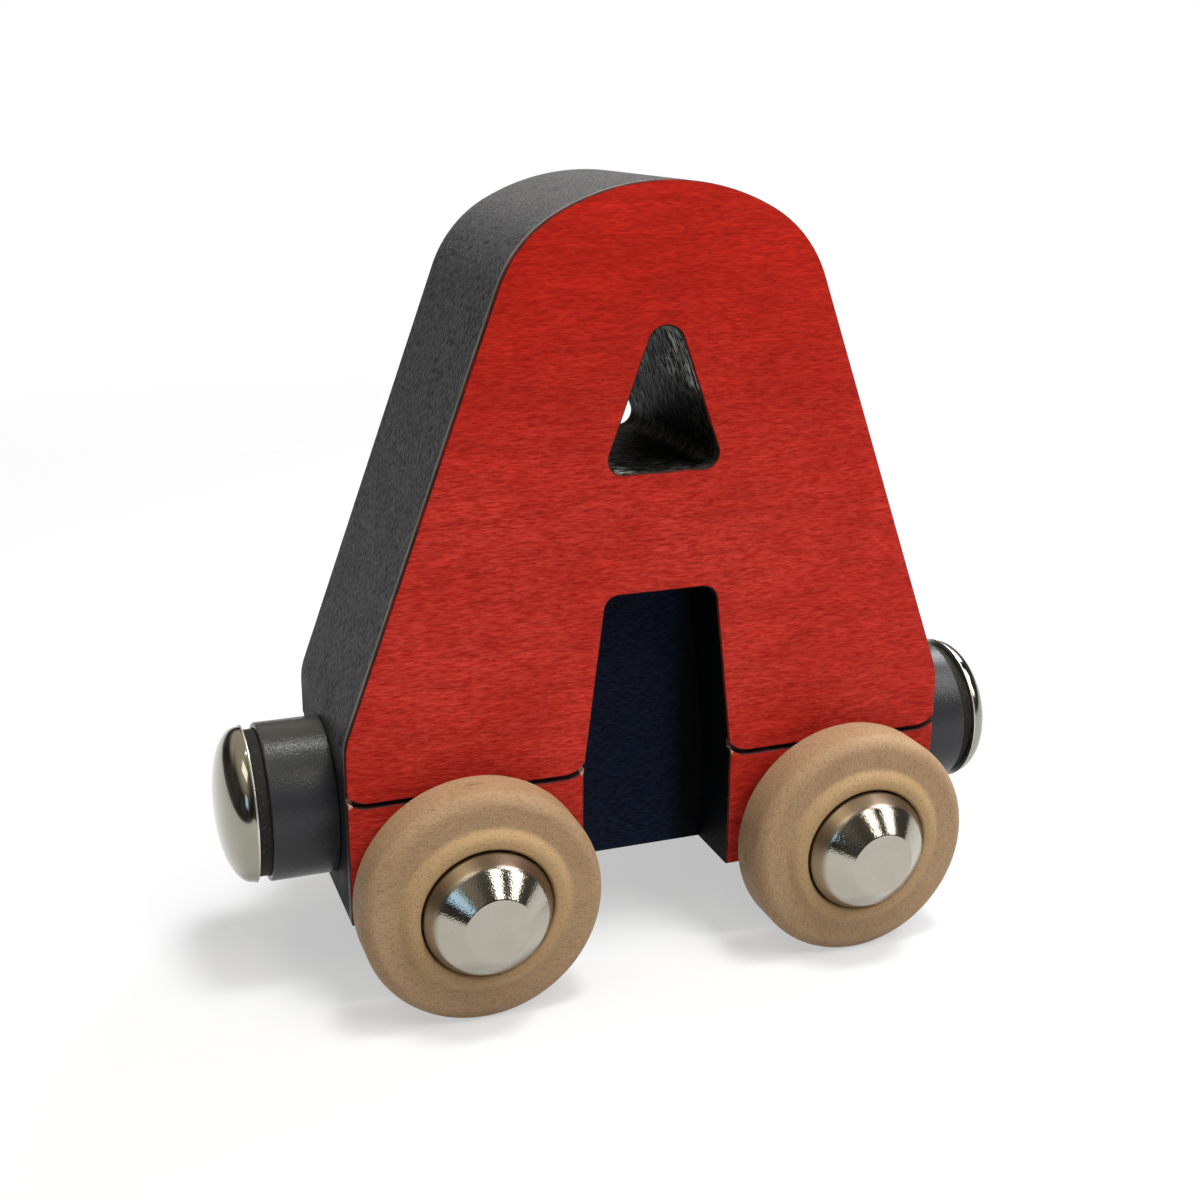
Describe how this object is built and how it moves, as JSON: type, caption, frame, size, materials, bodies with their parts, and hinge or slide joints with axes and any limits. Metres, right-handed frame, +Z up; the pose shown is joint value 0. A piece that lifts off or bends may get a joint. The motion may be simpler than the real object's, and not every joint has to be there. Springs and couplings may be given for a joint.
{
  "type": "toy train car",
  "caption": "Wooden toy train car shaped as a capital letter A, rolling on turned wheels with nickel hub caps, with a magnetic dome coupler at each end.",
  "frame": {"origin": "on the ground under the middle of the car", "axes": "+X along the train to the right as seen from the front, +Y from the front of the letter to its back, +Z up"},
  "size_m": [0.0702, 0.0366, 0.0641],
  "materials": {
    "red_stained_wood": "transparent red stain on the faces, charcoal paint on the edges, satin",
    "bare_maple": "turned and sanded, bare",
    "bright_nickel": "bright plated",
    "axle_steel": "drawn wire",
    "charcoal_sleeve": "satin charcoal",
    "ferrite": "pressed, dark"
  },
  "bodies": {
    "car": {"letter_body": "red_stained_wood", "coupler_sleeve_left": "charcoal_sleeve", "coupler_sleeve_right": "charcoal_sleeve", "coupler_magnet_left": "ferrite", "coupler_magnet_right": "ferrite", "coupler_nail_left": "axle_steel", "coupler_nail_right": "axle_steel", "coupler_dome_left": "bright_nickel", "coupler_dome_right": "bright_nickel"},
    "wheelset_left": {"axle_left": "axle_steel", "hub_cap_front_left": "bright_nickel", "hub_cap_back_left": "bright_nickel"},
    "wheelset_right": {"axle_right": "axle_steel", "hub_cap_front_right": "bright_nickel", "hub_cap_back_right": "bright_nickel"},
    "front_left_wheel": {"wheel_front_left": "bare_maple"},
    "front_right_wheel": {"wheel_front_right": "bare_maple"},
    "back_left_wheel": {"wheel_back_left": "bare_maple"},
    "back_right_wheel": {"wheel_back_right": "bare_maple"}
  },
  "joints": [
    {"name": "axle_left_turn", "type": "hinge", "parent": "car", "child": "wheelset_left", "pos_m": [-0.0165, 0, 0.0098], "axis": [0, 1, 0], "continuous": true},
    {"name": "axle_right_turn", "type": "hinge", "parent": "car", "child": "wheelset_right", "pos_m": [0.0165, 0, 0.0098], "axis": [0, 1, 0], "continuous": true},
    {"name": "wheel_front_left_turn", "type": "hinge", "parent": "wheelset_left", "child": "front_left_wheel", "pos_m": [-0.0165, 0, 0.0098], "axis": [0, 1, 0], "continuous": true},
    {"name": "wheel_back_left_turn", "type": "hinge", "parent": "wheelset_left", "child": "back_left_wheel", "pos_m": [-0.0165, 0, 0.0098], "axis": [0, 1, 0], "continuous": true},
    {"name": "wheel_front_right_turn", "type": "hinge", "parent": "wheelset_right", "child": "front_right_wheel", "pos_m": [0.0165, 0, 0.0098], "axis": [0, 1, 0], "continuous": true},
    {"name": "wheel_back_right_turn", "type": "hinge", "parent": "wheelset_right", "child": "back_right_wheel", "pos_m": [0.0165, 0, 0.0098], "axis": [0, 1, 0], "continuous": true}
  ]
}
